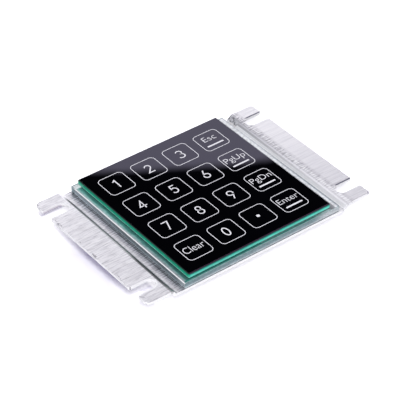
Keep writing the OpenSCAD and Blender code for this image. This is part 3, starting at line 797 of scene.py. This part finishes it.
# %% Trough
trough_end = sensor_low.x - 3.1 * MM
trough = times(sheet, span(sheet, x, trough_end, trough_end - 0.2 * MM, 1.0, 0.0),
               span(sheet, z, 6.6 * MM, 6.4 * MM),
               span(sheet, x, sensor_low.x + 0.5 * MM, sensor_low.x + 0.3 * MM))
ripple = times(sheet, trough, strokes_along(1.35 * MM, 3.0),
               span(sheet, x, -51 * MM, -48.5 * MM, 0.35, 0.95))
metal = darker(metal, ripple, (0.50, 0.50, 0.52))
mirrored_wall = ramp(sheet, span(sheet, x, sensor_low.x, trough_end),
                     (0.0, 1.0), (0.14, (0.98, 1.0, 1.0)),
                     (0.22, (0.24, 0.25, 0.27)), (0.30, (0.26, 0.27, 0.29)),
                     (0.38, (0.74, 0.75, 0.78)), (0.54, (0.96, 0.96, 1.0)),
                     (0.85, (0.97, 0.97, 1.0)), (1.0, 1.0))
trough = times(sheet, trough, 0.85, span(sheet, y, 47 * MM, 42 * MM, 0.3, 1.0),
               span(sheet, y, -46 * MM, -41 * MM, 0.4, 1.0))
metal = darker(metal, trough, mirrored_wall)
print("trough from x", round(sensor_low.x / MM, 1), "to", round(trough_end / MM, 1), "mm")

# %% [markdown]
# ## Matt places
# Not all of the sheet is brushed. A sheared or milled edge is matt: we find it by its normal,
# which lies flat there. Bending stretches the skin, so that the right web is matt too, and so is
# the rim of each slot. We gather the places in one factor. It whitens the colour and, further
# down, takes the metal's shine away.

# %% Matt places
# Half the slots' width, their middle's distance from the centre line, where their round ends
# begin, and the places of the right web and of the bend that ends it
slot_half = 3.3 * MM
slot_middle = tray_high.y - 11.1 * MM
slot_end = 60.2 * MM
right_web, right_bend = 52.5 * MM, 56.2 * MM


def from_point(across, along):
    """The distance from a point, of which the two parts are given."""
    arrow = add(sheet, "ShaderNodeCombineXYZ", {"X": across, "Y": along}).outputs[0]
    return add(sheet, "ShaderNodeVectorMath", {0: arrow}, operation="LENGTH").outputs["Value"]


normal = add(sheet, "ShaderNodeTexCoord").outputs["Normal"]
upright = add(sheet, "ShaderNodeSeparateXYZ", {"Vector": normal}).outputs["Z"]
cut_edge = span(sheet, maths(sheet, "ABSOLUTE", upright), 0.15, 0.50, 1.0, 0.0)
web_matt = times(sheet, band(x, right_web, 1.9 * MM), 0.62)
bend_matt = times(sheet, band(x, right_bend, 1.1 * MM), span(sheet, y, -8 * MM, 12 * MM, 0.50, 0.0))
inward = maths(sheet, "SUBTRACT", slot_end, maths(sheet, "ABSOLUTE", x))
sideways = maths(sheet, "SUBTRACT", maths(sheet, "ABSOLUTE", y), slot_middle)
from_slot = from_point(highest(sheet, inward, 0.0), sideways)
slot_rim = times(sheet, band(from_slot, slot_half + 0.3 * MM, 0.5 * MM), 0.75)
matt = highest(sheet, cut_edge, web_matt, bend_matt, slot_rim)
colour = blend(sheet, matt, metal, (0.93, 0.93, 0.94))
print("slots lie", round(2 * slot_middle / MM, 1), "mm apart")

# %% [markdown]
# ## Lines along the bends
# The bends get painted shade and painted reflections. At the left it is one painted dark line
# that leans by a hair and is weaker in the middle. At the right it is five fine lines of painted
# reflection, most of them stronger at the back, and beside them ragged dark strokes.

# %% Lines along the bends
# Painted shade: one dark line in the left bend.
left_bend, lean = -54.5 * MM, -0.006
leaning = maths(sheet, "MULTIPLY_ADD", y, lean, x)
weaker_middle = highest(sheet, span(sheet, y, -12 * MM, -19 * MM, 0.50, 0.95),
                        span(sheet, y, 5 * MM, 37 * MM, 0.50, 0.95))
left_bend_shade = times(sheet, band(leaning, left_bend, 0.95 * MM),
                  span(sheet, z, 6.8 * MM, 7.2 * MM), weaker_middle,
                  span(sheet, y, -46 * MM, -39 * MM, 0.5, 1.0),
                  span(sheet, y, 44.0 * MM, 40.5 * MM, 0.08, 1.0))
colour = darker(colour, left_bend_shade, (0.14, 0.14, 0.15))
# Painted reflections: fine dark lines along the right bend.
# Each line's place and half its width in mm, and its strength in front and at the back
right_painted_lines = ((51.9, 0.50, 0.45, 0.10), (53.75, 0.50, 0.12, 0.80), (54.8, 0.60, 0.22, 0.90),
               (55.9, 0.50, 0.00, 0.45), (58.2, 1.20, 0.14, 0.16))
for centre, half, front_strength, back_strength in right_painted_lines:
    line = times(sheet, band(x, centre * MM, half * MM),
                 span(sheet, y, -30 * MM, 38 * MM, front_strength, back_strength))
    colour = darker(colour, line, (0.35, 0.35, 0.37))
strokes_centre, ragged_by = 59.0 * MM, 5 * MM
stroke_ends = maths(sheet, "MULTIPLY_ADD", grain(sheet, (20, 700, 20)), ragged_by, x)
ragged_strokes = times(sheet, strokes_along(1.6 * MM, 4.0), band(stroke_ends, strokes_centre, 1.7 * MM),
                   span(sheet, y, -40 * MM, 40 * MM, 0.45, 0.95))
colour = darker(colour, ragged_strokes, (0.50, 0.50, 0.53))
print("lines along the right bend:", len(right_painted_lines))

# %% [markdown]
# ## The slots' walls
# A slot's far wall looks towards a darker part of the room. The wall of the left back slot is
# shaded, and deeper near its foot. At the right slots we only see where that wall begins: a dark
# line beside their back lips.

# %% Slot walls
far_wall = times(sheet, band(y, slot_middle + slot_half, 0.45 * MM),
                 span(sheet, x, -58 * MM, -59 * MM), span(sheet, z, 8.25 * MM, 8.1 * MM))
colour = darker(colour, far_wall, (0.82, 0.78, 0.84))
foot = times(sheet, far_wall, span(sheet, z, 7.6 * MM, 7.2 * MM, 0.0, 0.8))
colour = darker(colour, foot, (0.60, 0.58, 0.63))
for wall_y in (slot_middle + slot_half, -slot_middle + slot_half):
    arris_line = times(sheet, band(y, wall_y + 0.50 * MM, 0.45 * MM),
                       span(sheet, x, 58.5 * MM, 60 * MM), span(sheet, z, 8.05 * MM, 8.2 * MM))
    colour = darker(colour, arris_line, (0.10, 0.10, 0.15))
print("far walls shaded at y", round((slot_middle + slot_half) / MM, 1), "mm")

# %% [markdown]
# ## Marks of use
# A real sheet has been handled. It has nicks along its left edge, a dent in a lip of the left
# front slot and a slanting score across the tip of the tab beside it. The right front tab's
# corner gets a painted dark reflection. The marks are finer than the model's form, so the colour
# shows them.

# %% Nicks, dent, score and a painted dark corner
left_rim = tray_low.x + 0.625 * MM
nick = times(sheet, span(sheet, grain(sheet, (500, 300, 300), detail=2.0), 0.58, 0.62, 0.0, 0.7),
             band(x, left_rim, 0.6 * MM))
colour = darker(colour, nick, (0.30, 0.30, 0.33))
dent = times(sheet, band(x, left_rim, 0.36 * MM),
             band(y, slot_half - slot_middle + 0.1 * MM, 0.40 * MM), 0.8)
colour = darker(colour, dent, (0.30, 0.30, 0.33))
slant, slash_y = 0.7, -41.9 * MM
slash_offset = -97.8 * MM
slanting = maths(sheet, "MULTIPLY_ADD", y, slant, x)
slash = times(sheet, band(slanting, slash_offset, 0.45 * MM), band(y, slash_y, 1.2 * MM), 0.6)
colour = darker(colour, slash, (0.45, 0.45, 0.48))
# Painted dark reflection on the corner of the right front tab.
corner_size = 1.5 * MM
past_x = maths(sheet, "SUBTRACT", x, tray_high.x - corner_size)
past_y = maths(sheet, "SUBTRACT", y, tray_low.y + corner_size)
corner_dark_reflection = times(sheet, span(sheet, from_point(past_x, past_y), 0.90 * MM, 1.10 * MM),
                    span(sheet, past_x, 0.0, 0.2 * MM), span(sheet, past_y, 0.0, -0.2 * MM))
colour = darker(colour, corner_dark_reflection, (0.24, 0.22, 0.30))
print("left rim's marks at x", round(left_rim / MM, 1), "mm")

# %% [markdown]
# ## The sheet's shader
# The colour is complete. The matt places are hardly metallic and as rough as their factor says,
# and the rest has a satin roughness that follows the broad noise.

# %% Sheet
join(sheet, colour, sheet_shader.inputs["Base Color"])
join(sheet, span(sheet, matt, 0.0, 1.0, 1.0, 0.1), sheet_shader.inputs["Metallic"])
satin = span(sheet, broad, 0.3, 0.7, 0.30, 0.42)
join(sheet, highest(sheet, satin, matt), sheet_shader.inputs["Roughness"])
bump(sheet, sheet_shader, tone, 0.006 * MM, 0.8)
dress(sheet, "carrier_tray")

# %% [markdown]
# ## Deburred edges
# The press leaves sharp edges, and a person has to handle the sheet, so they are deburred: every
# cut edge has a rounding of a quarter of a millimetre. It is too small for the CAD model, yet
# it draws a bright or dark line along each slot. A bevel on a copy of the mesh makes it.

# %% Deburred edges
def deburred(name, source, width):
    copy = bpy.data.objects.new(name, part[source].data.copy())
    into_scene(copy)
    copy.matrix_world = part[source].matrix_world
    weld = copy.modifiers.new("weld", "WELD")
    weld.merge_threshold = 0.001 * MM
    flat = copy.modifiers.new("flat", "DECIMATE")
    flat.decimate_type = "DISSOLVE"
    flat.angle_limit = math.radians(0.5)
    round_off = copy.modifiers.new("round", "BEVEL")
    round_off.limit_method = "ANGLE"
    round_off.angle_limit = math.radians(50)
    round_off.width = width
    round_off.segments = 3
    round_off.harden_normals = True
    shapes = bpy.context.evaluated_depsgraph_get()
    shapes.update()
    mesh = bpy.data.meshes.new_from_object(copy.evaluated_get(shapes))
    copy.modifiers.clear()
    copy.data = mesh
    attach(copy, "root")
    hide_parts(source)
    return copy


deburr = 0.25 * MM
tray = deburred("deburred_tray", "carrier_tray", deburr)
print("faces on the deburred tray:", len(tray.data.polygons))

# %% [markdown]
# ## Foam
# The seal round the tail is foam rubber with open pores, and its inner side gets painted light,
# pale next to the bright floor. The tape's foam is black and much finer. Both take their colour
# and their relief from one noise, so that a pore is dark and deep in the same place.

# %% Seal and tape
foam, foam_shader = finish("foam_seal", Roughness=0.9)
pores = grain(foam, 900, detail=5.0)
grey_foam = ramp(foam, pores, (0.36, (0.12, 0.12, 0.13)), (0.5, (0.36, 0.36, 0.39)),
                 (0.64, (0.62, 0.62, 0.65)))
# Painted light makes the seal's inner side nearly white.
inner_side_painted_light = span(foam, axes_of(foam)["X"], 53.1 * MM, 52.5 * MM, 0.0, 0.95)
join(foam, blend(foam, inner_side_painted_light, grey_foam, (0.97, 0.97, 0.98)), foam_shader.inputs["Base Color"])
bump(foam, foam_shader, pores, 0.08 * MM)
dress(foam, "tail_seal")

tape, tape_shader = finish("foam_tape", Roughness=0.8)
bubbles = grain(tape, 1800, detail=2.0)
wander(tape, tape_shader, bubbles, (0.012, 0.012, 0.014), (0.035, 0.035, 0.038))
bump(tape, tape_shader, bubbles, 0.05 * MM)
dress(tape, "mounting_tape")

# %% [markdown]
# ## Amber films
# The tail and the insulating film are the same amber plastic. Copper lines show through the
# tail: the place along Y, divided by their pitch, gives a saw, and a part of each tooth is line.

# %% Tail and film
def saw_of(material, value, pitch):
    """Rises from 0 to 1 over each pitch."""
    return maths(material, "FRACT", maths(material, "DIVIDE", value, pitch))


tail, tail_shader = finish("flex_tail", Roughness=0.3)
line_share, line_blur = 0.45, 0.08
saw = saw_of(tail, axes_of(tail)["Y"], 0.5 * MM)
line = span(tail, saw, line_share, line_share + line_blur, 1.0, 0.0)
join(tail, ramp(tail, line, (0.0, (0.16, 0.085, 0.025)), (1.0, (0.36, 0.17, 0.06))),
     tail_shader.inputs["Base Color"])
bump(tail, tail_shader, line, 0.03 * MM)
dress(tail, "sensor_tail")

film, film_shader = finish("amber_film", Roughness=0.3)
wander(film, film_shader, grain(film, 120), (0.50, 0.27, 0.04), (0.60, 0.34, 0.06))
bump(film, film_shader, grain(film, 350), 0.05 * MM)
dress(film, "insulator_film")

# %% [markdown]
# ## Mouldings and ceramics
# Chips, sockets and connectors are moulded in tools with a fine spark texture, and ceramic is
# about as fine. So one helper makes them all from two near shades and a dense noise.

# %% Mouldings
def moulding(name, dark, light, roughness):
    material, shader = finish(name, Roughness=roughness)
    speck = grain(material, 3000, detail=2.0)
    wander(material, shader, speck, dark, light)
    bump(material, shader, speck, 0.015 * MM)
    return material


dress(moulding("chip_resin", (0.010, 0.010, 0.012), (0.028, 0.028, 0.032), 0.55),
      "touch_controller", "regulator", "chip_resistors")
dress(moulding("black_moulding", (0.008, 0.008, 0.009), (0.020, 0.020, 0.022), 0.4),
      "tail_latch", "socket_tongue")
dress(moulding("ivory_moulding", (0.66, 0.62, 0.50), (0.74, 0.70, 0.58), 0.45), "tail_connector")
dress(moulding("fired_ceramic", (0.34, 0.23, 0.12), (0.44, 0.31, 0.17), 0.5), "chip_capacitors")

# %% [markdown]
# ## Plated metal
# Screws, standoffs, leads and the socket's shell are plated. Plating is cloudy, and each kind of
# piece keeps fine scratches from its making. One helper makes a metal from a cloudy tone and a
# scratch noise, and we call it once for each plating.

# %% Plated metals
def plated(name, dark, light, smooth, rough, scratch):
    material, shader = finish(name, Metallic=1.0)
    cloud = grain(material, 700)
    wander(material, shader, cloud, dark, light)
    uneven(material, shader, cloud, smooth, rough)
    bump(material, shader, grain(material, scratch), 0.006 * MM)
    return material


dress(plated("zinc_plate", (0.52, 0.52, 0.50), (0.70, 0.70, 0.68), 0.28, 0.42, 2500),
      "board_screws", "standoffs")
dress(plated("bright_tin", (0.62, 0.62, 0.63), (0.80, 0.80, 0.80), 0.22, 0.36, 4000),
      "controller_leads", "regulator_leads", "chip_terminals", "tail_contacts", "crystal")
dress(plated("socket_steel", (0.58, 0.58, 0.60), (0.74, 0.74, 0.76), 0.22, 0.34, (600, 5000, 600)),
      "socket_shell")
dress(plated("gilt", (0.78, 0.52, 0.18), (0.90, 0.66, 0.28), 0.2, 0.3, 3000), "socket_contacts")

# %% [markdown]
# ## The controller board
# Solder mask is a thin green varnish over copper. Where copper runs underneath, the green is
# lighter. We fake the tracks with two sets of fine lines, and a cell noise chooses for each
# patch which of them shows, if any. Small pale spots stand for the plated holes.

# %% Solder mask
mask, mask_shader = finish("solder_mask", Roughness=0.28, IOR=1.5)
spot = place(mask)
axes = add(mask, "ShaderNodeSeparateXYZ", {"Vector": spot}).outputs
# Half a track and its soft side are shares of the pitch
track_pitch, track_half, track_blur = 1.1 * MM, 0.14, 0.06


def lanes(value):
    """1 on thin lines across a value, every pitch."""
    off = maths(mask, "SUBTRACT", saw_of(mask, value, track_pitch), 0.5)
    return span(mask, maths(mask, "ABSOLUTE", off), track_half, track_half + track_blur, 1.0, 0.0)


patches = add(mask, "ShaderNodeTexVoronoi", {"Vector": spot, "Scale": 150.0},
              feature="F1").outputs["Color"]
choice = add(mask, "ShaderNodeSeparateColor", {"Color": patches}).outputs["Red"]
along_x = times(mask, lanes(axes["Y"]), maths(mask, "GREATER_THAN", choice, 0.55))
along_y = times(mask, lanes(axes["X"]), maths(mask, "LESS_THAN", choice, 0.25))
tracks = highest(mask, along_x, along_y)
varnish = ramp(mask, tracks, (0.0, (0.010, 0.095, 0.040)), (1.0, (0.030, 0.20, 0.085)))
from_hole = add(mask, "ShaderNodeTexVoronoi", {"Vector": spot, "Scale": 210.0},
                feature="F1").outputs["Distance"]
hole = span(mask, from_hole, 0.055, 0.075, 1.0, 0.0)
join(mask, blend(mask, hole, varnish, (0.60, 0.58, 0.50)), mask_shader.inputs["Base Color"])
bump(mask, mask_shader, tracks, 0.03 * MM)
dress(mask, "controller_board")

# %% [markdown]
# ## The end

# %% End
print("scene dressed")
